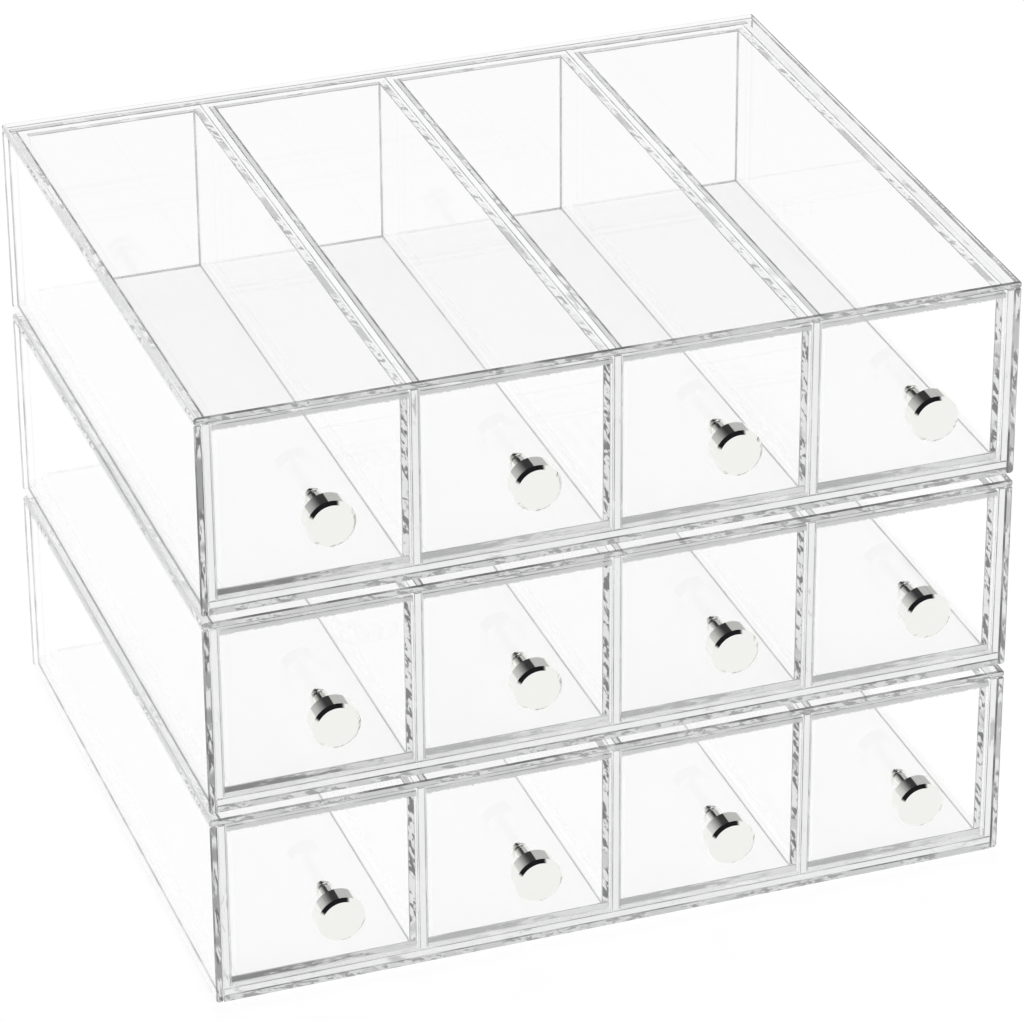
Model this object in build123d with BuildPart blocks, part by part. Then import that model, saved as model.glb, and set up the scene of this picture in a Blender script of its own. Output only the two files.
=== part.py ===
from build123d import *
import os

# Clear organizer: three identical units stacked on their feet, four long drawers side by side in each.
# Millimetres. Origin in the middle of the overall width and depth, knobs included, on the surface
# the organizer stands on.
# +X to the right, +Y to the back, +Z up: the drawers open towards -Y.

# ---- driving dimensions ----
tier_names = ["lower", "middle", "upper"]
drawers_per_tier = 4

sheet = 2.0                  # thickness of every clear sheet
glue_line = 0.05             # film of cement between two glued sheets

unit_width = 224.0
unit_depth = 188.0
unit_height = 56.5           # one unit without its feet
corner_radius = 0.9          # rounding of the long outer corners of a unit

foot_diameter = 9.0
foot_height = 2.0
foot_inset = 14.0            # from the outer faces of a unit to the middle of a foot
foot_rounding = 0.4

side_clearance = 0.25        # each side of a drawer, to the wall of its bay
floor_clearance = 0.1        # under a drawer
top_clearance = 0.6          # from a drawer's rim to the top sheet
back_clearance = 1.0         # from a closed drawer to the back sheet
front_edge_ease = 0.25       # chamfer round the face of a drawer front

knob_head_diameter = 13.0
knob_head_length = 6.5
knob_head_chamfer = 0.9
knob_neck_diameter = 4.2
knob_neck_length = 9.5       # from the drawer front to the head
knob_ring_diameter = 4.9     # rounded ring at the foot of the neck
knob_ring_length = 1.0
knob_ring_rounding = 0.3
knob_stud_diameter = 3.0     # cemented into the drawer front
knob_hole_diameter = 3.2

# ---- derived places ----
knob_reach = knob_neck_length + knob_head_length
front_y = (knob_reach - unit_depth) / 2
back_y = front_y + unit_depth
left_x = -unit_width / 2
right_x = unit_width / 2
unit_pitch = unit_height + foot_height

# The sleeve: top sheet over the sides, base and back between them.
sides_inner_x = right_x - sheet
between_sides_x = sides_inner_x - glue_line
back_inner_y = back_y - sheet
before_back_y = back_inner_y - glue_line
sides_top_z = unit_height - sheet - glue_line
back_bottom_z = sheet + glue_line

# The comb inside it: a second floor that carries five upright walls.
bay_floor_bottom_z = sheet + glue_line
bay_floor_top_z = bay_floor_bottom_z + sheet
bay_wall_bottom_z = bay_floor_top_z + glue_line
bay_pitch = (2 * between_sides_x - sheet) / drawers_per_tier
bay_width = bay_pitch - sheet

# A drawer: its front sheet covers the ends of the tray.
drawer_width = bay_width - 2 * side_clearance
drawer_bottom_z = bay_floor_top_z + floor_clearance
drawer_top_z = unit_height - sheet - top_clearance
drawer_back_y = back_inner_y - back_clearance
tray_front_y = front_y + sheet + glue_line
tray_wall_bottom_z = drawer_bottom_z + sheet + glue_line
knob_z = (drawer_bottom_z + drawer_top_z) / 2


def make_sheet(x_span, y_span, z_span):
    """A flat rectangular sheet that fills the given span on each axis."""
    x_middle = (x_span[0] + x_span[1]) / 2
    y_middle = (y_span[0] + y_span[1]) / 2
    with BuildPart() as flat:
        with BuildSketch(Plane.XY.offset(z_span[0])):
            with Locations((x_middle, y_middle)):
                Rectangle(x_span[1] - x_span[0], y_span[1] - y_span[0])
        extrude(amount=z_span[1] - z_span[0])
    return flat


def make_top_sheet(unit_z):
    """The top sheet of a unit, with its two long upper corners rounded."""
    x_span = (left_x, right_x)
    y_span = (front_y, back_y)
    z_span = (unit_z + unit_height - sheet, unit_z + unit_height)
    with make_sheet(x_span, y_span, z_span) as top:
        fillet(top.edges().filter_by(Axis.Y).group_by(Axis.Z)[-1], corner_radius)
    return top


def make_side_sheet(unit_z, side):
    """A side sheet of a unit, on side -1 (left) or +1 (right), with its long lower corner rounded."""
    x_span = sorted((side * sides_inner_x, side * right_x))
    y_span = (front_y, back_y)
    z_span = (unit_z, unit_z + sides_top_z)
    with make_sheet(x_span, y_span, z_span) as side_sheet:
        lower_edges = side_sheet.edges().filter_by(Axis.Y).group_by(Axis.Z)[0].sort_by(Axis.X)
        outer_edge = lower_edges[0] if side < 0 else lower_edges[-1]
        fillet(outer_edge, corner_radius)
    return side_sheet


def make_bay_walls(unit_z):
    """The five uprights of the comb: one against each side sheet and one between each two bays."""
    wall_depth = before_back_y - front_y
    wall_middle_y = (before_back_y + front_y) / 2
    with BuildPart() as bay_walls:
        with BuildSketch(Plane.XY.offset(unit_z + bay_wall_bottom_z)):
            with Locations((0, wall_middle_y)):
                with GridLocations(bay_pitch, wall_depth, drawers_per_tier + 1, 1):
                    Rectangle(sheet, wall_depth)
        extrude(amount=sides_top_z - bay_wall_bottom_z)
    return bay_walls


def make_feet(unit_z):
    """Four round pads under the base of a unit, their lower rims rounded."""
    with BuildPart() as feet:
        with BuildSketch(Plane.XY.offset(unit_z - foot_height)):
            with Locations((0, (front_y + back_y) / 2)):
                with GridLocations(unit_width - 2 * foot_inset, unit_depth - 2 * foot_inset, 2, 2):
                    Circle(foot_diameter / 2)
        extrude(amount=foot_height - glue_line)
        fillet(feet.edges().filter_by(GeomType.CIRCLE).group_by(Axis.Z)[0], foot_rounding)
    return feet


def make_drawer_front(unit_z, drawer_x):
    """The front sheet of a drawer, with the hole for its knob's stud."""
    x_span = (drawer_x - drawer_width / 2, drawer_x + drawer_width / 2)
    y_span = (front_y, front_y + sheet)
    z_span = (unit_z + drawer_bottom_z, unit_z + drawer_top_z)
    hole_plane = Plane(origin=(drawer_x, front_y, unit_z + knob_z), x_dir=(1, 0, 0), z_dir=(0, -1, 0))
    with make_sheet(x_span, y_span, z_span) as front:
        with Locations(hole_plane):
            Hole(knob_hole_diameter / 2)
        face_edges = front.faces().sort_by(Axis.Y)[0].edges().filter_by(GeomType.LINE)
        chamfer(face_edges, front_edge_ease)
    return front


def make_tray(unit_z, drawer_x):
    """The body of a drawer: a floor sheet, two walls standing on it, and a back between the walls."""
    tray_length = drawer_back_y - tray_front_y
    tray_middle_y = (drawer_back_y + tray_front_y) / 2
    wall_spacing = drawer_width - sheet
    back_width = drawer_width - 2 * sheet - 2 * glue_line
    with BuildPart() as tray:
        with BuildSketch(Plane.XY.offset(unit_z + drawer_bottom_z)):
            with Locations((drawer_x, tray_middle_y)):
                Rectangle(drawer_width, tray_length)
        extrude(amount=sheet)
        with BuildSketch(Plane.XY.offset(unit_z + tray_wall_bottom_z)):
            with Locations((drawer_x, tray_middle_y)):
                with GridLocations(wall_spacing, tray_length, 2, 1):
                    Rectangle(sheet, tray_length)
            with Locations((drawer_x, drawer_back_y - sheet / 2)):
                Rectangle(back_width, sheet)
        extrude(amount=drawer_top_z - tray_wall_bottom_z)
    return tray


def make_knob(unit_z, drawer_x):
    """A turned knob: stud, rounded ring against the drawer front, slim neck, and a cylindrical head."""
    centre = (drawer_x, front_y, unit_z + knob_z)
    ring_end = -knob_ring_length
    head_start = -knob_neck_length
    head_end = head_start - knob_head_length
    with BuildPart() as knob:
        with BuildSketch(Plane(origin=centre, x_dir=(1, 0, 0), z_dir=(0, 0, 1))):
            with BuildLine():
                Polyline(
                    (0, sheet),
                    (knob_stud_diameter / 2, sheet),
                    (knob_stud_diameter / 2, 0),
                    (knob_ring_diameter / 2, 0),
                    (knob_ring_diameter / 2, ring_end),
                    (knob_neck_diameter / 2, ring_end),
                    (knob_neck_diameter / 2, head_start),
                    (knob_head_diameter / 2, head_start),
                    (knob_head_diameter / 2, head_end),
                    (0, head_end),
                    (0, sheet),
                )
            make_face()
        revolve(axis=Axis(centre, (0, 1, 0)))
        rims = knob.edges().filter_by(GeomType.CIRCLE)
        head_rims = rims.sort_by(SortBy.RADIUS)[-2:]
        chamfer(head_rims, knob_head_chamfer)
        ring_rim = knob.edges().filter_by(GeomType.CIRCLE).filter_by(
            lambda edge: abs(edge.radius - knob_ring_diameter / 2) < 0.01
        ).sort_by(Axis.Y)[0]
        fillet(ring_rim, knob_ring_rounding)
    return knob


def save(piece, node_name):
    """Label a finished piece with its node name and write it."""
    piece.part.label = node_name
    export_step(piece.part, f"parts/{node_name}.step")


def save_casing(tier, unit_z):
    """The sleeve, comb and feet of one unit."""
    between_sides = (-between_sides_x, between_sides_x)
    base_z = (unit_z, unit_z + sheet)
    bay_floor_z = (unit_z + bay_floor_bottom_z, unit_z + bay_floor_top_z)
    back_z = (unit_z + back_bottom_z, unit_z + sides_top_z)
    save(make_top_sheet(unit_z), f"{tier}_casing_top")
    save(make_sheet(between_sides, (front_y, back_y), base_z), f"{tier}_casing_base")
    save(make_side_sheet(unit_z, -1), f"{tier}_casing_left_side")
    save(make_side_sheet(unit_z, 1), f"{tier}_casing_right_side")
    save(make_sheet(between_sides, (back_inner_y, back_y), back_z), f"{tier}_casing_back")
    save(make_sheet(between_sides, (front_y, before_back_y), bay_floor_z), f"{tier}_bay_floor")
    save(make_bay_walls(unit_z), f"{tier}_bay_walls")
    save(make_feet(unit_z), f"{tier}_feet")


def save_drawers(tier, unit_z):
    """The drawers of one unit, numbered from the left."""
    for index in range(drawers_per_tier):
        drawer_x = (index - (drawers_per_tier - 1) / 2) * bay_pitch
        drawer = f"{tier}_drawer_{index + 1}"
        save(make_drawer_front(unit_z, drawer_x), f"{drawer}_front")
        save(make_tray(unit_z, drawer_x), f"{drawer}_tray")
        save(make_knob(unit_z, drawer_x), f"{drawer}_knob")


os.makedirs("parts", exist_ok=True)
for level, tier in enumerate(tier_names):
    unit_z = foot_height + level * unit_pitch
    save_casing(tier, unit_z)
    save_drawers(tier, unit_z)
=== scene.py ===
"""Clear stacking organizer: three units of four long drawers, dressed and lit for a catalogue picture."""

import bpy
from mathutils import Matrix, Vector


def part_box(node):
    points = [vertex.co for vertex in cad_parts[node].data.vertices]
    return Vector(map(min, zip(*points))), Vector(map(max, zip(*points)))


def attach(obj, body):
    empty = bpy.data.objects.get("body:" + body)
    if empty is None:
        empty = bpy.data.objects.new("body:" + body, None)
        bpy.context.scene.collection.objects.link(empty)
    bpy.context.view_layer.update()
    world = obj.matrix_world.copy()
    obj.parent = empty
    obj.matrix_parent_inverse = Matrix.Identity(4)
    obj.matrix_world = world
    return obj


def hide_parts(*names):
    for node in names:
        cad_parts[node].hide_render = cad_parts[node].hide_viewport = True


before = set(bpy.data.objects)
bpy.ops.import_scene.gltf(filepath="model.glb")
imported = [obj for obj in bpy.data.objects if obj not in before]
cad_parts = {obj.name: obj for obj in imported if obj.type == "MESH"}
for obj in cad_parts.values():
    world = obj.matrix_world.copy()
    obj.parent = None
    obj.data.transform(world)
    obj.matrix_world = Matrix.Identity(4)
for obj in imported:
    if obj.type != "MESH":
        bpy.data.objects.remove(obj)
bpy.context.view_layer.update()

import math

import bmesh
import bpy
from mathutils import Matrix, Vector

bl_info = {
    "name": "Clear drawer organizer",
    "version": (1, 0, 0),
    "blender": (4, 5, 0),
    "location": "View3D > Sidebar > Organizer",
    "description": "Builds a clear stacking organizer with long drawers and metal knobs",
    "category": "Add Mesh",
}

TIERS = ("lower", "middle", "upper")
DRAWERS_PER_TIER = 4
AXES = {"x": 0, "y": 1, "z": 2}
SIDES = ("-x", "+x", "-y", "+y", "-z", "+z")

# A face looks to a side when the part of its normal along that axis is above SQUARE, and an eased
# corner leans to it above LEANING. A flat arris leans to its two sides alike, to within
# ARRIS_BALANCE, and the steps of a rounding don't.
SQUARE = 0.999
LEANING = 0.35
ARRIS_BALANCE = 0.1
NEARLY_ZERO = 0.01
SHARP_ANGLE = math.radians(50)
ROUNDING_STEPS = 4

# A line washes out behind other sheets: it is whole behind fewer surfaces than WASH_STARTS, and behind
# WASH_ENDS or more only WASHED_SHARE of it is left.
WASH_STARTS = 3.5
WASH_ENDS = 7.0
WASHED_SHARE = 0.1

ACRYLIC_IOR = 1.49
POLISH = 0.015
# White of the veil on floor sheets: painted reflection of the white surroundings.
PAINTED_REFLECTION_COLOUR = (0.98, 0.98, 0.98, 1.0)
PAD_COLOUR = (0.9, 0.91, 0.92, 1.0)

# Places are in metres, the camera's turn in degrees, and its lens and sensor in millimetres.
CAMERA_PLACE = (-0.414, -1.18417, 0.7688)
CAMERA_TURN = (61.394, 0.3442, -19.5166)
CAMERA_LENS = 182.44
SENSOR_WIDTH = 36.0

LAMP_PLACE = (0.1, 0.2, 1.5)
LAMP_AIM = (0, 0, 0.05)
LAMP_SIZE = 0.9
LAMP_POWER = 5.0

# The surroundings look white, and light matt surfaces a little less than that. The dark flags in them
# show only in reflections.
DIFFUSE_STRENGTH = 0.85
FLAG_COLOUR = (0.01, 0.01, 0.012, 1)

# What is seen of the floor is mostly its own glow, so that it stays white and its shadow soft. It lies
# a little under the feet, so that the two don't share a plane.
FLOOR_GLOW = (0.85, 0.85, 0.85, 1)
FLOOR_LIT = (0.16, 0.16, 0.16, 1)
FLOOR_SIZE = 6.0
FLOOR_DROP = 0.0003

# A ray to the back of the organizer passes dozens of clear surfaces.
LIGHT_BOUNCES = 64
CLEAR_SURFACES = 96
GLOSSY_BOUNCES = 8


# ---- settings ----


class OrganizerSizes(bpy.types.PropertyGroup):
    """Sizes of the clear sheets, their corners, cement and lines."""

    sheet: bpy.props.FloatProperty(
        name="Sheet", description="Thickness of every clear sheet", default=0.002, unit="LENGTH"
    )
    glue_line: bpy.props.FloatProperty(
        name="Glue line", description="Film of cement between two sheets", default=0.00005, unit="LENGTH"
    )
    corner_radius: bpy.props.FloatProperty(
        name="Corner radius", description="Rounding of a unit's long outer corners", default=0.0009,
        unit="LENGTH",
    )
    case_arris: bpy.props.FloatProperty(
        name="Case arris", description="Width of the eased corners of the sleeve", default=0.0004,
        unit="LENGTH",
    )
    inner_arris: bpy.props.FloatProperty(
        name="Inner arris", description="Width of the eased corners of bays and drawers", default=0.0002,
        unit="LENGTH",
    )
    bead: bpy.props.FloatProperty(
        name="Cement bead", description="Width of the bead of cement round a tray's back", default=0.00048,
        unit="LENGTH",
    )
    long_bead: bpy.props.FloatProperty(
        name="Long bead", description="Width of the bead of cement along a tray's walls", default=0.00034,
        unit="LENGTH",
    )
    side_glow: bpy.props.FloatProperty(
        name="Side glow", description="Width of the streaked strip along the right edge of a top sheet",
        default=0.0022, unit="LENGTH",
    )
    rim_line: bpy.props.FloatProperty(
        name="Rim line", description="Width of the dark line along the right border of a wall's rim",
        default=0.0005, unit="LENGTH",
    )
    edge_glow: bpy.props.FloatProperty(
        name="Edge glow", description="Height of the lit strip under a drawer front's sawn top edge",
        default=0.0021, unit="LENGTH",
    )


class OrganizerColours(bpy.types.PropertyGroup):
    """Colours of the knobs and of the studio floor."""

    chrome: bpy.props.FloatVectorProperty(
        name="Chrome", description="Polished plating of the knobs", subtype="COLOR",
        default=(0.875, 0.875, 0.845), min=0, max=1,
    )
    floor: bpy.props.FloatVectorProperty(
        name="Floor", description="Studio floor", subtype="COLOR", default=(0.93, 0.93, 0.93), min=0, max=1
    )


# ---- small helpers ----


def add_node(tree, kind, inputs=None, **settings):
    """A shader node with its settings, and each input set to a value or joined to a socket."""
    made = tree.nodes.new(kind)
    for name, value in settings.items():
        setattr(made, name, value)
    for name, value in (inputs or {}).items():
        socket = made.inputs[name]
        if isinstance(value, bpy.types.NodeSocket):
            tree.links.new(value, socket)
        else:
            socket.default_value = value
    return made


def math_node(tree, operation, first, second):
    """The output of a Math node on two values."""
    return add_node(tree, "ShaderNodeMath", {0: first, 1: second}, operation=operation).outputs[0]


def smooth_step(tree, value, low, high):
    """0 below low, 1 above high, and a smooth rise between them."""
    ramp = add_node(
        tree, "ShaderNodeMapRange", {"Value": value, "From Min": low, "From Max": high},
        interpolation_type="SMOOTHSTEP",
    )
    return ramp.outputs[0]


def new_material(name):
    """A new material's tree and its output node; the material itself is found by its name."""
    material = bpy.data.materials.new(name)
    material.use_nodes = True
    tree = material.node_tree
    tree.nodes.clear()
    return tree, add_node(tree, "ShaderNodeOutputMaterial")


def rgba(colour):
    """A colour with full alpha."""
    return (*colour, 1.0)


def grey(level):
    """A neutral grey, a touch cool."""
    return (level * 0.995, level, level * 1.005, 1.0)


def object_noise(tree, scale, detail):
    """Noise fixed to the piece, with about scale features to a metre."""
    coordinates = add_node(tree, "ShaderNodeTexCoord")
    inputs = {"Vector": coordinates.outputs["Object"], "Scale": scale, "Detail": detail}
    return add_node(tree, "ShaderNodeTexNoise", inputs).outputs[0]


def edge_map(tree):
    """A sheet's own map: X along a face in metres, and Y from 0 to 1 across it."""
    coordinates = add_node(tree, "ShaderNodeTexCoord")
    return add_node(tree, "ShaderNodeSeparateXYZ", {0: coordinates.outputs["UV"]}).outputs


def colour_mix(tree, share, first, second):
    """A colour between two, by a share from 0 to 1."""
    return add_node(tree, "ShaderNodeMix", {0: share, 6: first, 7: second}, data_type="RGBA").outputs[2]


def add_surface(tree, output, inputs):
    """Joins a Principled surface with these inputs to the output of a material."""
    surface = add_node(tree, "ShaderNodeBsdfPrincipled", inputs)
    tree.links.new(surface.outputs[0], output.inputs[0])


def cover_by_side(tree, cover, through):
    """How much a cut edge or line hides: all of its cover from outside, a share of it through the sheet.

    The more sheets lie in front, the fainter it gets, as their surfaces wash it out.
    """
    inside = add_node(tree, "ShaderNodeNewGeometry").outputs["Backfacing"]
    share = add_node(tree, "ShaderNodeMapRange", {"Value": inside, "To Min": 1.0, "To Max": through})
    passed = add_node(tree, "ShaderNodeLightPath").outputs["Transparent Depth"]
    washed = add_node(
        tree, "ShaderNodeMapRange",
        {
            "Value": passed, "From Min": WASH_STARTS, "From Max": WASH_ENDS,
            "To Min": 1.0, "To Max": WASHED_SHARE,
        },
    )
    shown = math_node(tree, "MULTIPLY", share.outputs[0], washed.outputs[0])
    return math_node(tree, "MULTIPLY", shown, cover)


# ---- effects shared by the materials ----


def saw_marks_group():
    """Marks of a saw on a cut edge, from the sheet's own map.

    Marks is the fine broken pattern, and Patches the longer stretches that are cut rougher or finer.
    """
    group = bpy.data.node_groups.new("Saw marks", "ShaderNodeTree")
    for name, value in (("Length", 0.004), ("Across", 2.0), ("Slant", 0.5), ("Patch length", 0.02)):
        group.interface.new_socket(name, in_out="INPUT", socket_type="NodeSocketFloat").default_value = value
    for name in ("Marks", "Patches"):
        group.interface.new_socket(name, in_out="OUTPUT", socket_type="NodeSocketFloat")
    start = add_node(group, "NodeGroupInput").outputs
    coordinates = add_node(group, "ShaderNodeTexCoord")
    face = edge_map(group)
    place = add_node(
        group, "ShaderNodeVectorMath", {0: coordinates.outputs["Object"], 1: (61.0, 13.0, 47.0)},
        operation="DOT_PRODUCT",
    ).outputs["Value"]
    along = math_node(group, "DIVIDE", face["X"], start["Length"])
    slanted = math_node(group, "ADD", along, math_node(group, "MULTIPLY", face["Y"], start["Slant"]))
    across = math_node(group, "MULTIPLY", face["Y"], start["Across"])
    spot = add_node(group, "ShaderNodeCombineXYZ", {"X": slanted, "Y": across, "Z": place})
    marks = add_node(
        group, "ShaderNodeTexNoise",
        {"Vector": spot.outputs[0], "Scale": 1.0, "Detail": 2.0, "Roughness": 0.6, "Distortion": 0.4},
    )
    stretch = math_node(group, "DIVIDE", face["X"], start["Patch length"])
    far_spot = add_node(group, "ShaderNodeCombineXYZ", {"X": stretch, "Y": place})
    patches = add_node(
        group, "ShaderNodeTexNoise", {"Vector": far_spot.outputs[0], "Scale": 1.0, "Detail": 1.0}
    )
    add_node(group, "NodeGroupOutput", {"Marks": marks.outputs[0], "Patches": patches.outputs[0]})


def handling_group():
    """Faint smears of a handled sheet, as a change in how sharp its gloss is."""
    group = bpy.data.node_groups.new("Handling", "ShaderNodeTree")
    make = group.interface.new_socket
    make("Sharpest", in_out="INPUT", socket_type="NodeSocketFloat").default_value = 0.01
    make("Dullest", in_out="INPUT", socket_type="NodeSocketFloat").default_value = 0.07
    make("Roughness", in_out="OUTPUT", socket_type="NodeSocketFloat")
    start = add_node(group, "NodeGroupInput").outputs
    roughness = add_node(
        group, "ShaderNodeMapRange",
        {
            "Value": object_noise(group, 28.0, 3.0), "From Min": 0.45, "From Max": 0.75,
            "To Min": start["Sharpest"], "To Max": start["Dullest"],
        },
    )
    add_node(group, "NodeGroupOutput", {"Roughness": roughness.outputs[0]})


# ---- materials ----


def clear_sheet(name, gloss_share, veil, handled):
    """Polished face of a clear sheet: what is behind shows through, with a mirror's gloss by the angle.

    The veil is painted reflection: a pale white layer on a floor sheet, seen only by the camera, that stands
    in for the white surroundings mirrored by the many sheets.
    """
    tree, output = new_material(name)
    path = add_node(tree, "ShaderNodeLightPath").outputs
    fresnel = add_node(tree, "ShaderNodeFresnel", {"IOR": ACRYLIC_IOR}).outputs[0]
    both_faces = math_node(
        tree, "DIVIDE", math_node(tree, "MULTIPLY", fresnel, 2.0 * gloss_share),
        math_node(tree, "ADD", fresnel, 1.0),
    )
    inside = add_node(tree, "ShaderNodeNewGeometry").outputs["Backfacing"]
    outside = math_node(tree, "SUBTRACT", 1.0, inside)
    seen = math_node(tree, "MULTIPLY", path["Is Camera Ray"], outside)
    share = math_node(tree, "MULTIPLY", both_faces, seen)
    mirror = add_node(tree, "ShaderNodeBsdfGlossy", {"Color": (1, 1, 1, 1), "Roughness": POLISH})
    if handled:
        handling = add_node(tree, "ShaderNodeGroup", node_tree=bpy.data.node_groups["Handling"])
        tree.links.new(handling.outputs["Roughness"], mirror.inputs["Roughness"])
    body = add_node(tree, "ShaderNodeBsdfTransparent").outputs[0]
    # The veil is painted reflection: a white diffuse layer, shown to the camera only, in place of the
    # surroundings mirrored by the sheets.
    if veil:
        painted_reflection = add_node(tree, "ShaderNodeBsdfDiffuse", {"Color": PAINTED_REFLECTION_COLOUR})
        veiled = math_node(tree, "MULTIPLY", seen, veil)
        body = add_node(tree, "ShaderNodeMixShader", {0: veiled, 1: body, 2: painted_reflection.outputs[0]}).outputs[0]
    face = add_node(tree, "ShaderNodeMixShader", {0: share, 1: body, 2: mirror.outputs[0]})
    tree.links.new(face.outputs[0], output.inputs[0])


def edge_material(name, look):
    """A cut edge, from a look: greys of its light, middle and dark parts, and the marks of the saw."""
    tree, output = new_material(name)
    saw = add_node(tree, "ShaderNodeGroup", node_tree=bpy.data.node_groups["Saw marks"])
    for socket in ("Length", "Across", "Slant", "Patch length"):
        saw.inputs[socket].default_value = look[socket]
    marks = smooth_step(tree, saw.outputs["Marks"], *look["marks"])
    calm = smooth_step(tree, saw.outputs["Patches"], *look["patches"])
    broken = colour_mix(tree, marks, grey(look["light"]), grey(look["dark"]))
    colour = colour_mix(tree, calm, broken, grey(look["middle"]))
    bump = add_node(tree, "ShaderNodeBump", {"Height": marks, "Strength": 0.3, "Distance": 0.0001})
    add_surface(
        tree, output,
        {
            "Base Color": colour, "Roughness": 0.35, "Normal": bump.outputs[0],
            "Alpha": cover_by_side(tree, look["cover"], through=0.2),
        },
    )


def line_material(name, shade, cover, through=0.3):
    """A thin line of lost light, a little uneven along its length."""
    tree, output = new_material(name)
    weakest = cover * 0.55
    strength = add_node(
        tree, "ShaderNodeMapRange",
        {
            "Value": object_noise(tree, 110.0, 2.0), "From Min": 0.35, "From Max": 0.6,
            "To Min": weakest, "To Max": cover,
        },
    )
    alpha = cover_by_side(tree, strength.outputs[0], through)
    add_surface(tree, output, {"Base Color": grey(shade), "Roughness": 0.3, "Alpha": alpha})


def border_line_material(name, shade, reach):
    """A face that is clear but for a line along its lower or left border, reach of its width."""
    tree, output = new_material(name)
    waves = math_node(tree, "MULTIPLY", object_noise(tree, 90.0, 2.0), 0.1)
    faded_out = reach + 0.14
    beyond = smooth_step(tree, math_node(tree, "ADD", edge_map(tree)["Y"], waves), reach, faded_out)
    drawn = math_node(tree, "MULTIPLY", math_node(tree, "SUBTRACT", 1.0, beyond), 0.85)
    alpha = cover_by_side(tree, drawn, through=1.0)
    add_surface(tree, output, {"Base Color": grey(shade), "Roughness": 0.3, "Alpha": alpha})


def floor_end_material(name, light, dark):
    """Front end of a tray's floor: dark from the left, then broken up towards the right."""
    dark_until, light_from = 0.016, 0.04
    tree, output = new_material(name)
    coordinates = add_node(tree, "ShaderNodeTexCoord")
    place = add_node(
        tree, "ShaderNodeVectorMath", {0: coordinates.outputs["Object"], 1: (150.0, 0.0, 900.0)},
        operation="MULTIPLY",
    )
    broken = add_node(
        tree, "ShaderNodeTexNoise",
        {"Vector": place.outputs[0], "Scale": 1.0, "Detail": 4.0, "Roughness": 0.65},
    )
    shift = math_node(tree, "MULTIPLY", math_node(tree, "SUBTRACT", broken.outputs[0], 0.5), 0.12)
    along = math_node(tree, "ADD", edge_map(tree)["X"], shift)
    fade = smooth_step(tree, along, dark_until, light_from)
    colour = colour_mix(tree, fade, grey(dark), grey(light))
    add_surface(tree, output, {"Base Color": colour, "Roughness": 0.3, "Alpha": 0.95})


def glow_material(name, shade):
    """Ragged grey strip inside a drawer front, under its sawn top edge."""
    tree, output = new_material(name)
    ragged = math_node(tree, "MULTIPLY", object_noise(tree, 1300.0, 3.0), 0.5)
    shown = smooth_step(tree, math_node(tree, "ADD", edge_map(tree)["Y"], ragged), 0.4, 0.7)
    alpha = math_node(tree, "MULTIPLY", shown, 0.9)
    add_surface(tree, output, {"Base Color": grey(shade), "Roughness": 0.4, "Alpha": alpha})


def side_glow_material(name, shade):
    """Streaks along the right edge of a top sheet, in long stretches with clear ones between."""
    tree, output = new_material(name)
    face = edge_map(tree)
    along = math_node(tree, "MULTIPLY", face["X"], 26.0)
    across = math_node(tree, "MULTIPLY", face["Y"], 0.9)
    stretch = add_node(tree, "ShaderNodeCombineXYZ", {"X": along, "Y": across}).outputs[0]
    patches = add_node(tree, "ShaderNodeTexNoise", {"Vector": stretch, "Scale": 1.0, "Detail": 1.0})
    dark = smooth_step(tree, patches.outputs[0], 0.5, 0.62)
    rough = smooth_step(tree, object_noise(tree, 1500.0, 3.0), 0.3, 0.6)
    alpha = math_node(tree, "MULTIPLY", math_node(tree, "MULTIPLY", dark, rough), 0.85)
    add_surface(tree, output, {"Base Color": grey(shade), "Roughness": 0.4, "Alpha": alpha})


def chrome_material(name, colour):
    """Polished plating with a very fine unevenness."""
    tree, output = new_material(name)
    roughness = add_node(
        tree, "ShaderNodeMapRange", {"Value": object_noise(tree, 900.0, 2.0), "To Min": 0.05, "To Max": 0.1}
    ).outputs[0]
    add_surface(tree, output, {"Base Color": rgba(colour), "Metallic": 1.0, "Roughness": roughness})


def pad_material(name):
    """Soft clear pad, a little cloudy."""
    tree, output = new_material(name)
    alpha = add_node(
        tree, "ShaderNodeMapRange", {"Value": object_noise(tree, 600.0, 2.0), "To Min": 0.1, "To Max": 0.3}
    ).outputs[0]
    add_surface(tree, output, {"Base Color": PAD_COLOUR, "Roughness": 0.25, "Alpha": alpha})


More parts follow.
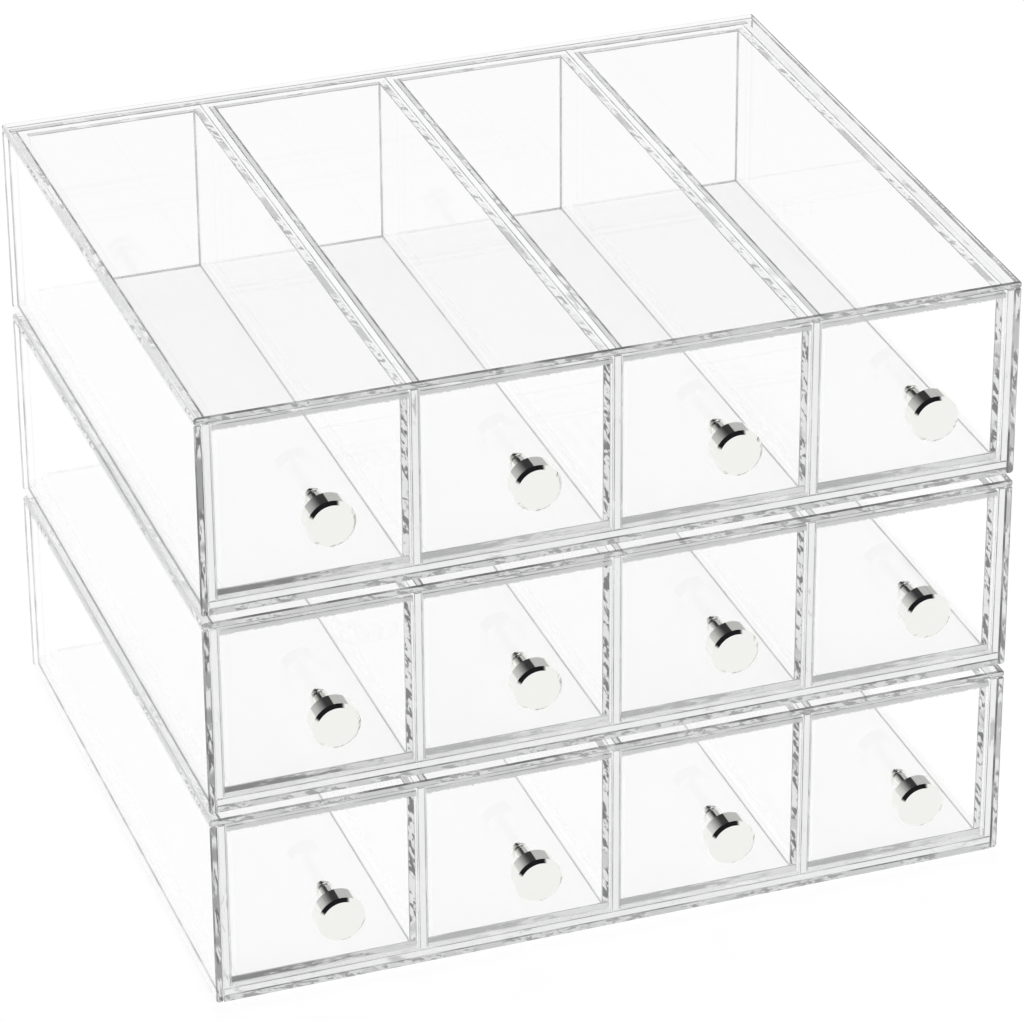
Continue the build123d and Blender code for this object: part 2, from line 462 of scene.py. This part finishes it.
# How each cut edge looks: greys, the ranges of noise that count as marks and as calm patches, and sizes.
EDGE_LOOKS = {
    "sawn_side_edge": {
        "light": 0.85, "middle": 0.34, "dark": 0.13, "cover": 0.95, "marks": (0.44, 0.58),
        "patches": (0.52, 0.62), "Length": 0.0042, "Across": 1.6, "Slant": 0.8, "Patch length": 0.012,
    },
    "fine_side_edge": {
        "light": 0.88, "middle": 0.56, "dark": 0.24, "cover": 0.95, "marks": (0.44, 0.6),
        "patches": (0.52, 0.62), "Length": 0.0034, "Across": 1.4, "Slant": 0.8, "Patch length": 0.012,
    },
    "sawn_front_edge": {
        "light": 0.78, "middle": 0.66, "dark": 0.36, "cover": 0.95, "marks": (0.44, 0.6),
        "patches": (0.5, 0.6), "Length": 0.0026, "Across": 1.8, "Slant": 0.6, "Patch length": 0.022,
    },
    "pale_edge": {
        "light": 0.96, "middle": 0.97, "dark": 0.6, "cover": 0.95, "marks": (0.5, 0.62),
        "patches": (0.3, 0.42), "Length": 0.006, "Across": 1.2, "Slant": 0.3, "Patch length": 0.02,
    },
    "rim_edge": {
        "light": 0.85, "middle": 0.64, "dark": 0.36, "cover": 0.85, "marks": (0.48, 0.6),
        "patches": (0.4, 0.5), "Length": 0.004, "Across": 1.5, "Slant": 0.7, "Patch length": 0.03,
    },
    "round_edge": {
        "light": 0.92, "middle": 0.72, "dark": 0.4, "cover": 0.8, "marks": (0.46, 0.6),
        "patches": (0.42, 0.54), "Length": 0.0024, "Across": 1.5, "Slant": 0.6, "Patch length": 0.035,
    },
    "ragged_rim": {
        "light": 0.9, "middle": 0.5, "dark": 0.34, "cover": 0.85, "marks": (0.5, 0.62),
        "patches": (0.5, 0.6), "Length": 0.0028, "Across": 1.0, "Slant": 1.0, "Patch length": 0.02,
    },
    "streaked_edge": {
        "light": 0.9, "middle": 0.68, "dark": 0.17, "cover": 0.95, "marks": (0.48, 0.58),
        "patches": (0.6, 0.7), "Length": 0.0024, "Across": 1.0, "Slant": 1.3, "Patch length": 0.009,
    },
}


def make_materials(colours):
    """Every material of the organizer; the pieces take them by name."""
    saw_marks_group()
    handling_group()
    clear_sheet("clear_case", gloss_share=0.5, veil=0.0, handled=True)
    # The veils of the base and floor sheets are painted reflection of the white surroundings.
    clear_sheet("clear_case_base", gloss_share=0.5, veil=0.3, handled=False)
    clear_sheet("clear_face", gloss_share=0.3, veil=0.0, handled=False)
    clear_sheet("clear_floor", gloss_share=0.6, veil=0.4, handled=False)
    for name, look in EDGE_LOOKS.items():
        edge_material(name, look)
    line_material("outer_arris", shade=0.14, cover=0.95, through=0.75)
    line_material("arris", shade=0.16, cover=0.95)
    line_material("rim_line", shade=0.12, cover=0.9)
    line_material("left_line", shade=0.2, cover=0.95)
    line_material("inner_arris", shade=0.3, cover=0.85)
    line_material("faint_arris", shade=0.55, cover=0.6)
    line_material("ghost_line", shade=0.6, cover=0.25)
    line_material("cement_bead", shade=0.6, cover=0.75, through=1.0)
    line_material("clean_bead", shade=0.75, cover=0.2)
    border_line_material("back_line", shade=0.36, reach=0.3)
    border_line_material("side_back_line", shade=0.45, reach=0.26)
    floor_end_material("floor_end", light=0.72, dark=0.2)
    floor_end_material("pale_floor_end", light=0.8, dark=0.48)
    glow_material("edge_glow", shade=0.62)
    side_glow_material("side_glow", shade=0.3)
    chrome_material("turned_chrome", colours.chrome)
    pad_material("cloudy_pad")


# ---- geometry of sheets ----


def side_of(normal):
    """The side, such as -x, that a face square to an axis looks to, or None for an eased corner."""
    for side in SIDES:
        sign = -1 if side[0] == "-" else 1
        if normal[AXES[side[1]]] * sign > SQUARE:
            return side
    return None


def material_index(mesh_materials, name):
    """The index of a material in a piece's list, added when it is new."""
    if name not in mesh_materials:
        mesh_materials.append(name)
    return mesh_materials.index(name)


def map_face(face, uv_layer, low, high):
    """Maps a face of a sheet: X along its longer way in metres, Y from 0 to 1 across it."""
    normal_axis = max(range(3), key=lambda axis: abs(face.normal[axis]))
    ways = [axis for axis in range(3) if axis != normal_axis]
    ways.sort(key=lambda axis: high[axis] - low[axis], reverse=True)
    long_way, short_way = ways
    for loop in face.loops:
        place = loop.vert.co
        across = (place[short_way] - low[short_way]) / (high[short_way] - low[short_way])
        loop[uv_layer].uv = (place[long_way] - low[long_way], across)


def ease_edges(made, edges, width, steps):
    """Eases edges of a mesh: one step makes a flat arris, more of them a rounding."""
    bmesh.ops.bevel(
        made, geom=edges, offset=width, affect="EDGES", segments=steps, profile=0.5, material=-1
    )


def eased_box(low, high, arris, round_edges, radius):
    """A box between two corners, its edges rounded where round_edges says so and eased elsewhere."""
    made = bmesh.new()
    place = Matrix.Translation((low + high) / 2) @ Matrix.Diagonal((*(high - low), 1.0))
    bmesh.ops.create_cube(made, size=1.0, matrix=place)
    rounded = [edge for edge in made.edges if edge_sides(edge) in round_edges]
    if rounded:
        ease_edges(made, rounded, radius, ROUNDING_STEPS)
    sharp = [edge for edge in made.edges if edge.calc_face_angle(0) > SHARP_ANGLE]
    ease_edges(made, sharp, arris, 1)
    made.normal_update()
    return made


def add_sheet(
    target, low, high, faces, arris, names, lines, round_edges=(), radius=0.0, face="clear_face", strips=()
):
    """Adds a flat sheet between two corners to a mesh, and the materials it wears to names.

    faces names the material of each free edge of the sheet by its side; its other sides wear face.
    lines names the line that an eased corner of a free edge wears, by the two sides that it leans
    to, by one of them, or by any, and what a rounding wears by round-x and round+x. strips holds the
    side, axis, width and material of each strip along the far border of a side.
    """
    low, high = Vector(low), Vector(high)
    made = eased_box(low, high, arris, round_edges, radius)
    uv_layer = made.loops.layers.uv.new("EdgeMap")
    for polygon in made.faces:
        finish = finish_of(polygon.normal, faces, lines, round_edges, face)
        polygon.material_index = material_index(names, finish)
        map_face(polygon, uv_layer, low, high)
    for side, axis, width, finish in strips:
        mark_strip(made, side, axis, high[AXES[axis]] - width, width, names, finish)
    join_into(target, made)


def finish_of(normal, faces, lines, round_edges, face):
    """The material that a face of a sheet wears, by the way it looks."""
    side = side_of(normal)
    if side:
        return faces.get(side, face)
    if round_edges and is_rounding(normal):
        return lines["round-x"] if normal.x < 0 else lines["round+x"]
    if borders_free_edge(normal, faces):
        return line_of(normal, lines)
    return face


def mark_strip(made, side, axis, cut, width, names, finish):
    """Cuts a sheet across one axis and gives one side of it another material beyond the cut."""
    way = AXES[axis]
    place, normal = Vector((0, 0, 0)), Vector((0, 0, 0))
    place[way], normal[way] = cut, 1.0
    bmesh.ops.bisect_plane(
        made, geom=made.verts[:] + made.edges[:] + made.faces[:], plane_co=place, plane_no=normal
    )
    uv_layer = made.loops.layers.uv["EdgeMap"]
    strip = material_index(names, finish)
    for polygon in made.faces:
        if side_of(polygon.normal) == side and polygon.calc_center_median()[way] > cut:
            polygon.material_index = strip
            for loop in polygon.loops:
                spot = loop.vert.co
                along = spot.x if axis == "z" else spot.y
                loop[uv_layer].uv = (along, (spot[way] - cut) / width)


def edge_sides(edge):
    """The two sides that an edge of a box lies between."""
    return {side_of(polygon.normal) for polygon in edge.link_faces}


def leans(normal):
    """The sides that an eased corner leans towards."""
    return [side for side in SIDES if normal[AXES[side[1]]] * (-1 if side[0] == "-" else 1) > LEANING]


def is_rounding(normal):
    """True for a step of the rounding of a long corner: it runs along Y and isn't a flat arris."""
    return abs(normal.y) < NEARLY_ZERO and abs(abs(normal.x) - abs(normal.z)) > ARRIS_BALANCE


def line_of(normal, lines):
    """The material that lines names for an eased corner."""
    sides = leans(normal)
    for key in ("".join(sides), *sides):
        if key in lines:
            return lines[key]
    return lines["any"]


def borders_free_edge(normal, faces):
    """True if an eased corner leans towards one of the free edges."""
    return any(side in faces for side in leans(normal))


def join_into(target, made):
    """Moves a finished mesh into a larger one."""
    mesh = bpy.data.meshes.new("part")
    made.to_mesh(mesh)
    made.free()
    target.from_mesh(mesh)
    bpy.data.meshes.remove(mesh)


def new_bmesh():
    """An empty mesh with the edge map's layer."""
    made = bmesh.new()
    made.loops.layers.uv.new("EdgeMap")
    return made


def finish_piece(made, name, names, body, slot, *nodes):
    """Turns a mesh into a piece of the organizer that rides on a body, and hides the CAD nodes whose place
    it takes.
    """
    mesh = bpy.data.meshes.new(name)
    made.to_mesh(mesh)
    made.free()
    piece = bpy.data.objects.new(name, mesh)
    bpy.context.scene.collection.objects.link(piece)
    for material in names:
        mesh.materials.append(bpy.data.materials[material])
    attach(piece, body)
    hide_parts(*nodes)


def single_sheet(node, faces, body, slot, arris, lines, **more):
    """A piece made of one sheet that fills its CAD node's box."""
    made, names = new_bmesh(), []
    low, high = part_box(node)
    add_sheet(made, low, high, faces, arris, names, lines, **more)
    finish_piece(made, f"{node}_sheet", names, body, slot, node)


# ---- operators ----


class ORGANIZER_OT_finishes(bpy.types.Operator):
    """Mix the clear, sawn, plated and cloudy finishes that the pieces wear"""

    bl_idname = "organizer.finishes"
    bl_label = "Finishes"

    def execute(self, context):
        make_materials(context.scene.organizer_colours)
        return {"FINISHED"}


SLEEVE_LINES = {
    "-x-z": "left_line", "+y+z": "faint_arris", "+y-z": "faint_arris",
    "round-x": "round_edge", "round+x": "outer_arris", "any": "outer_arris",
}


def build_sleeve(tier, sizes):
    """The five sheets of a unit's sleeve. Base and back stand between the others, with finer corners."""
    shown = (f"{tier}_unit", "casing_acrylic", sizes.case_arris, SLEEVE_LINES)
    hidden = (f"{tier}_unit", "casing_acrylic", sizes.inner_arris, {"any": "arris"})
    single_sheet(
        f"{tier}_casing_top",
        {"-y": "sawn_front_edge", "+y": "back_line", "-x": "round_edge", "+x": "rim_edge"},
        *shown, round_edges=({"-x", "+z"}, {"+x", "+z"}), radius=sizes.corner_radius,
        strips=[("+z", "x", sizes.side_glow, "side_glow")], face="clear_case",
    )
    single_sheet(
        f"{tier}_casing_base", {"-y": "sawn_front_edge", "+y": "rim_edge"}, *hidden,
        face="clear_case_base",
    )
    single_sheet(f"{tier}_casing_back", {"+z": "rim_edge"}, *hidden, face="clear_case")
    for side, outward, front_end, back_end in (
        ("left", "-x", "sawn_side_edge", "side_back_line"),
        ("right", "+x", "fine_side_edge", "clear_case"),
    ):
        single_sheet(
            f"{tier}_casing_{side}_side", {"-y": front_end, "+y": back_end, "-z": "rim_edge"},
            *shown, round_edges=({outward, "-z"},), radius=sizes.corner_radius, face="clear_case",
        )


def build_bays(tier, sizes):
    """A unit's inner floor and the five uprights on it. Only the first has a line along its rim."""
    body = f"{tier}_unit"
    single_sheet(
        f"{tier}_bay_floor", {"-y": "pale_edge"}, body, "bay_acrylic", sizes.inner_arris,
        {"any": "inner_arris"}, face="clear_floor",
    )
    node = f"{tier}_bay_walls"
    low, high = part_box(node)
    pitch = (high.x - low.x - sizes.sheet) / DRAWERS_PER_TIER
    made, names = new_bmesh(), []
    for index in range(DRAWERS_PER_TIER + 1):
        left = low.x + index * pitch
        rim, lines, strips = "pale_edge", {"any": "inner_arris"}, []
        if index == 0:
            rim, lines = "round_edge", {"-x": "faint_arris", "any": "inner_arris"}
            strips = [("+z", "x", sizes.inner_arris + sizes.rim_line, "rim_line")]
        add_sheet(
            made, (left, low.y, low.z), (left + sizes.sheet, high.y, high.z),
            {"-y": "pale_edge", "+z": rim}, sizes.inner_arris, names, lines, strips=strips,
        )
    finish_piece(made, f"{node}_sheets", names, body, "bay_acrylic", node)


class ORGANIZER_OT_sleeves(bpy.types.Operator):
    """Build the outer sleeve of each unit from its five sheets"""

    bl_idname = "organizer.sleeves"
    bl_label = "Sleeves"

    def execute(self, context):
        for tier in TIERS:
            build_sleeve(tier, context.scene.organizer_sizes)
        return {"FINISHED"}


class ORGANIZER_OT_bays(bpy.types.Operator):
    """Build the inner floor and the five uprights of each unit"""

    bl_idname = "organizer.bays"
    bl_label = "Bays"

    def execute(self, context):
        for tier in TIERS:
            build_bays(tier, context.scene.organizer_sizes)
        return {"FINISHED"}


def add_bead(target, corners, along, length, names, finish):
    """Adds a three-sided bead of cement: its first end has these corners, and it runs along one axis."""
    made = new_bmesh()
    made.faces.new([made.verts.new(corner) for corner in corners])
    bmesh.ops.recalc_face_normals(made, faces=made.faces)
    pushed = bmesh.ops.extrude_face_region(made, geom=made.faces[:])["geom"]
    far_end = [item for item in pushed if isinstance(item, bmesh.types.BMVert)]
    step = Vector((0, 0, 0))
    step[AXES[along]] = length
    bmesh.ops.translate(made, verts=far_end, vec=step)
    bmesh.ops.recalc_face_normals(made, faces=made.faces)
    for polygon in made.faces:
        polygon.material_index = material_index(names, finish)
    join_into(target, made)


def add_tray_sheets(made, names, low, high, number, sizes):
    """The floor, two walls and back of a tray. The left wall of drawer 1 hardly shows."""
    sheet, glue = sizes.sheet, sizes.glue_line
    wall_low = low.z + sheet + glue
    plain = (sizes.inner_arris, names, {"any": "inner_arris"})
    floor_end, left_rim, left_line = "pale_floor_end", "rim_edge", "arris"
    strips = [("+z", "x", sizes.inner_arris + sizes.rim_line, "rim_line")]
    if number == 1:
        floor_end, left_rim, left_line, strips = "floor_end", "clear_face", "ghost_line", []
    add_sheet(
        made, low, (high.x, high.y, low.z + sheet), {"-y": floor_end}, *plain, face="clear_floor"
    )
    add_sheet(
        made, (low.x, low.y, wall_low), (low.x + sheet, high.y, high.z), {"+z": left_rim},
        sizes.inner_arris, names, {"any": left_line}, strips=strips,
    )
    add_sheet(
        made, (high.x - sheet, low.y, wall_low), high,
        {"+z": "ragged_rim", "-y": "streaked_edge"}, *plain,
    )
    add_sheet(
        made, (low.x + sheet + glue, high.y - sheet, wall_low),
        (high.x - sheet - glue, high.y, high.z), {"+z": "rim_edge"}, *plain,
    )


def add_tray_beads(made, names, low, high, sizes):
    """The cement in the inner corners of a tray: along the walls, up the back and along its foot."""
    sheet, glue, bead, thin = sizes.sheet, sizes.glue_line, sizes.bead, sizes.long_bead
    inner_left, inner_right, inner_back = low.x + sheet, high.x - sheet, high.y - sheet
    floor_z, post_y = low.z + sheet + glue, inner_back - glue
    for wall_x, inward, finish in ((inner_left, 1, "clean_bead"), (inner_right, -1, "cement_bead")):
        foot = wall_x + inward * glue
        along_wall = (
            (foot, low.y, floor_z), (foot + inward * thin, low.y, floor_z), (foot, low.y, floor_z + thin),
        )
        add_bead(made, along_wall, "y", inner_back - low.y - glue, names, finish)
        up_the_back = (
            (foot, post_y, floor_z), (foot + inward * bead, post_y, floor_z),
            (foot, post_y - bead, floor_z),
        )
        add_bead(made, up_the_back, "z", high.z - floor_z - glue, names, finish)
    start_x = inner_left + glue
    along_back = (
        (start_x, post_y, floor_z), (start_x, post_y - bead, floor_z), (start_x, post_y, floor_z + bead),
    )
    add_bead(made, along_back, "x", inner_right - inner_left - 2 * glue, names, "cement_bead")


def build_tray(tier, number, sizes):
    """The tray of a drawer: its sheets and the cement between them."""
    node = f"{tier}_drawer_{number}_tray"
    low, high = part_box(node)
    made, names = new_bmesh(), []
    add_tray_sheets(made, names, low, high, number, sizes)
    add_tray_beads(made, names, low, high, sizes)
    finish_piece(made, f"{node}_sheets", names, f"{tier}_drawer_{number}", "drawer_acrylic", node)


def build_front(tier, number, sizes):
    """The front sheet of a drawer, with the lit strip under its top edge."""
    node = f"{tier}_drawer_{number}_front"
    low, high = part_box(node)
    made, names = new_bmesh(), []
    faces = {"-x": "rim_edge", "+x": "rim_edge", "+z": "rim_edge", "-z": "rim_edge"}
    lines = {"-z": "inner_arris", "+z": "inner_arris", "-x": "faint_arris", "any": "inner_arris"}
    strips = [("-y", "z", sizes.edge_glow, "edge_glow")]
    add_sheet(made, low, high, faces, sizes.inner_arris, names, lines, strips=strips)
    finish_piece(made, f"{node}_sheet", names, f"{tier}_drawer_{number}", "drawer_acrylic", node)


class ORGANIZER_OT_drawers(bpy.types.Operator):
    """Build the front and the tray of each drawer"""

    bl_idname = "organizer.drawers"
    bl_label = "Drawers"

    def execute(self, context):
        sizes = context.scene.organizer_sizes
        for tier in TIERS:
            for number in range(1, DRAWERS_PER_TIER + 1):
                build_tray(tier, number, sizes)
                build_front(tier, number, sizes)
        return {"FINISHED"}


def dress_nodes(ending, finish):
    """Dresses the CAD nodes whose names have this ending in one material."""
    for name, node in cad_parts.items():
        if name.endswith(ending):
            for slot in node.material_slots:
                slot.material = bpy.data.materials[finish]


class ORGANIZER_OT_knobs(bpy.types.Operator):
    """Plate the knobs"""

    bl_idname = "organizer.knobs"
    bl_label = "Knobs"

    def execute(self, context):
        dress_nodes("_knob", "turned_chrome")
        return {"FINISHED"}


class ORGANIZER_OT_feet(bpy.types.Operator):
    """Finish the round pads under each unit"""

    bl_idname = "organizer.feet"
    bl_label = "Feet"

    def execute(self, context):
        dress_nodes("_feet", "cloudy_pad")
        return {"FINISHED"}


def lobe(tree, direction, towards, low, high):
    """1 near a direction of the surroundings, 0 away from it; low and high are cosines of the angle."""
    cosine = add_node(
        tree, "ShaderNodeVectorMath", {0: direction, 1: Vector(towards).normalized()},
        operation="DOT_PRODUCT",
    ).outputs["Value"]
    return smooth_step(tree, cosine, low, high)


def band(tree, value, rise, fall):
    """1 between a rise and a fall of a value, 0 outside them."""
    fallen = smooth_step(tree, value, *fall)
    return math_node(
        tree, "MULTIPLY", smooth_step(tree, value, *rise), math_node(tree, "SUBTRACT", 1.0, fallen)
    )


def studio_world():
    """White surroundings, with the dark flags round the table that polished metal shows.

    One flag hangs in front, above the camera. The other two stand at the back, and are placed by
    turn, the slope of a direction's X against its Y.
    """
    world = bpy.data.worlds.new("studio")
    bpy.context.scene.world = world
    world.use_nodes = True
    tree = world.node_tree
    tree.nodes.clear()
    output = add_node(tree, "ShaderNodeOutputWorld")
    direction = add_node(tree, "ShaderNodeTexCoord").outputs["Generated"]
    parts = add_node(tree, "ShaderNodeSeparateXYZ", {0: direction}).outputs
    above_table = smooth_step(tree, parts["Z"], 0.0, 0.06)
    at_the_back = smooth_step(tree, parts["Y"], 0.3, 0.5)
    front_flag = lobe(tree, direction, (-0.25, -0.6, 0.75), 0.5, 0.68)
    turn = math_node(tree, "DIVIDE", parts["X"], parts["Y"])
    back_flag = math_node(tree, "MULTIPLY", band(tree, turn, (-1.1, -0.15), (0.17, 0.22)), 0.97)
    side_flag = math_node(tree, "MULTIPLY", band(tree, turn, (0.13, 0.18), (0.8, 1.2)), 0.45)
    flags = math_node(tree, "MAXIMUM", back_flag, side_flag)
    flags = math_node(tree, "MULTIPLY", flags, at_the_back)
    darkness = math_node(tree, "MULTIPLY", math_node(tree, "MAXIMUM", flags, front_flag), above_table)
    path = add_node(tree, "ShaderNodeLightPath").outputs
    darkness = math_node(tree, "MULTIPLY", darkness, path["Is Glossy Ray"])
    colour = colour_mix(tree, darkness, (1, 1, 1, 1), FLAG_COLOUR)
    strength = add_node(
        tree, "ShaderNodeMapRange",
        {"Value": path["Is Diffuse Ray"], "To Min": 1.0, "To Max": DIFFUSE_STRENGTH},
    ).outputs[0]
    background = add_node(tree, "ShaderNodeBackground", {"Color": colour, "Strength": strength})
    tree.links.new(background.outputs[0], output.inputs[0])


def studio_floor(colour):
    """A plain white floor that still takes the organizer's soft shadow."""
    made = bmesh.new()
    bmesh.ops.create_grid(made, x_segments=1, y_segments=1, size=FLOOR_SIZE)
    bmesh.ops.translate(made, verts=made.verts[:], vec=(0, 0, -FLOOR_DROP))
    mesh = bpy.data.meshes.new("studio_floor")
    made.to_mesh(mesh)
    made.free()
    floor = bpy.data.objects.new("studio_floor", mesh)
    bpy.context.scene.collection.objects.link(floor)
    tree, output = new_material("studio_floor")
    path = add_node(tree, "ShaderNodeLightPath")
    seen = math_node(tree, "MAXIMUM", path.outputs["Is Camera Ray"], path.outputs["Is Glossy Ray"])
    seen = math_node(tree, "MAXIMUM", seen, path.outputs["Is Transmission Ray"])
    plain = add_node(tree, "ShaderNodeBsdfDiffuse", {"Color": rgba(colour)})
    lit = add_node(tree, "ShaderNodeBsdfDiffuse", {"Color": FLOOR_LIT})
    glow = add_node(tree, "ShaderNodeEmission", {"Color": FLOOR_GLOW, "Strength": 1.0})
    shown = add_node(tree, "ShaderNodeAddShader", {0: lit.outputs[0], 1: glow.outputs[0]})
    both = add_node(tree, "ShaderNodeMixShader", {0: seen, 1: plain.outputs[0], 2: shown.outputs[0]})
    tree.links.new(both.outputs[0], output.inputs[0])
    mesh.materials.append(bpy.data.materials["studio_floor"])


def studio_lamp():
    """A soft square lamp above the organizer."""
    lamp = bpy.data.lights.new("key_lamp", "AREA")
    lamp.size = LAMP_SIZE
    lamp.energy = LAMP_POWER
    holder = bpy.data.objects.new("key_lamp", lamp)
    bpy.context.scene.collection.objects.link(holder)
    holder.location = LAMP_PLACE
    holder.rotation_euler = (Vector(LAMP_AIM) - Vector(LAMP_PLACE)).to_track_quat("-Z", "Y").to_euler()


def studio_camera():
    """The camera of the catalogue picture, in front to the left and well above the organizer."""
    camera = bpy.data.cameras.new("catalogue_camera")
    camera.sensor_width = SENSOR_WIDTH
    camera.lens = CAMERA_LENS
    camera.clip_end = 50.0
    holder = bpy.data.objects.new("catalogue_camera", camera)
    bpy.context.scene.collection.objects.link(holder)
    holder.rotation_euler = [math.radians(angle) for angle in CAMERA_TURN]
    holder.location = CAMERA_PLACE
    bpy.context.scene.camera = holder


class ORGANIZER_OT_stage(bpy.types.Operator):
    """Build the studio: floor, surroundings, lamp and camera"""

    bl_idname = "organizer.stage"
    bl_label = "Studio"

    def execute(self, context):
        studio_world()
        studio_floor(context.scene.organizer_colours.floor)
        studio_lamp()
        studio_camera()
        scene = context.scene
        scene.view_settings.view_transform = "Standard"
        scene.cycles.max_bounces = LIGHT_BOUNCES
        scene.cycles.transparent_max_bounces = CLEAR_SURFACES
        scene.cycles.glossy_bounces = GLOSSY_BOUNCES
        return {"FINISHED"}


class ORGANIZER_PT_panel(bpy.types.Panel):
    """The organizer's sizes, colours and building steps"""

    bl_idname = "ORGANIZER_PT_panel"
    bl_label = "Clear drawer organizer"
    bl_space_type = "VIEW_3D"
    bl_region_type = "UI"
    bl_category = "Organizer"

    def draw(self, context):
        layout = self.layout
        for group in (context.scene.organizer_sizes, context.scene.organizer_colours):
            box = layout.box()
            for name in group.bl_rna.properties.keys():
                if name not in {"rna_type", "name"}:
                    box.prop(group, name)
        for operator in OPERATORS:
            layout.operator(operator.bl_idname)


OPERATORS = (
    ORGANIZER_OT_finishes,
    ORGANIZER_OT_sleeves,
    ORGANIZER_OT_bays,
    ORGANIZER_OT_drawers,
    ORGANIZER_OT_knobs,
    ORGANIZER_OT_feet,
    ORGANIZER_OT_stage,
)
CLASSES = (OrganizerSizes, OrganizerColours, *OPERATORS, ORGANIZER_PT_panel)


def register():
    """Adds the settings, the building steps and the panel."""
    for added in CLASSES:
        bpy.utils.register_class(added)
    bpy.types.Scene.organizer_sizes = bpy.props.PointerProperty(type=OrganizerSizes)
    bpy.types.Scene.organizer_colours = bpy.props.PointerProperty(type=OrganizerColours)


def unregister():
    """Takes them away again."""
    del bpy.types.Scene.organizer_colours
    del bpy.types.Scene.organizer_sizes
    for added in reversed(CLASSES):
        bpy.utils.unregister_class(added)


def main():
    """Build every piece and the studio."""
    register()
    bpy.ops.organizer.finishes()
    bpy.ops.organizer.sleeves()
    bpy.ops.organizer.bays()
    bpy.ops.organizer.drawers()
    bpy.ops.organizer.knobs()
    bpy.ops.organizer.feet()
    bpy.ops.organizer.stage()


if __name__ == "__main__":
    main()
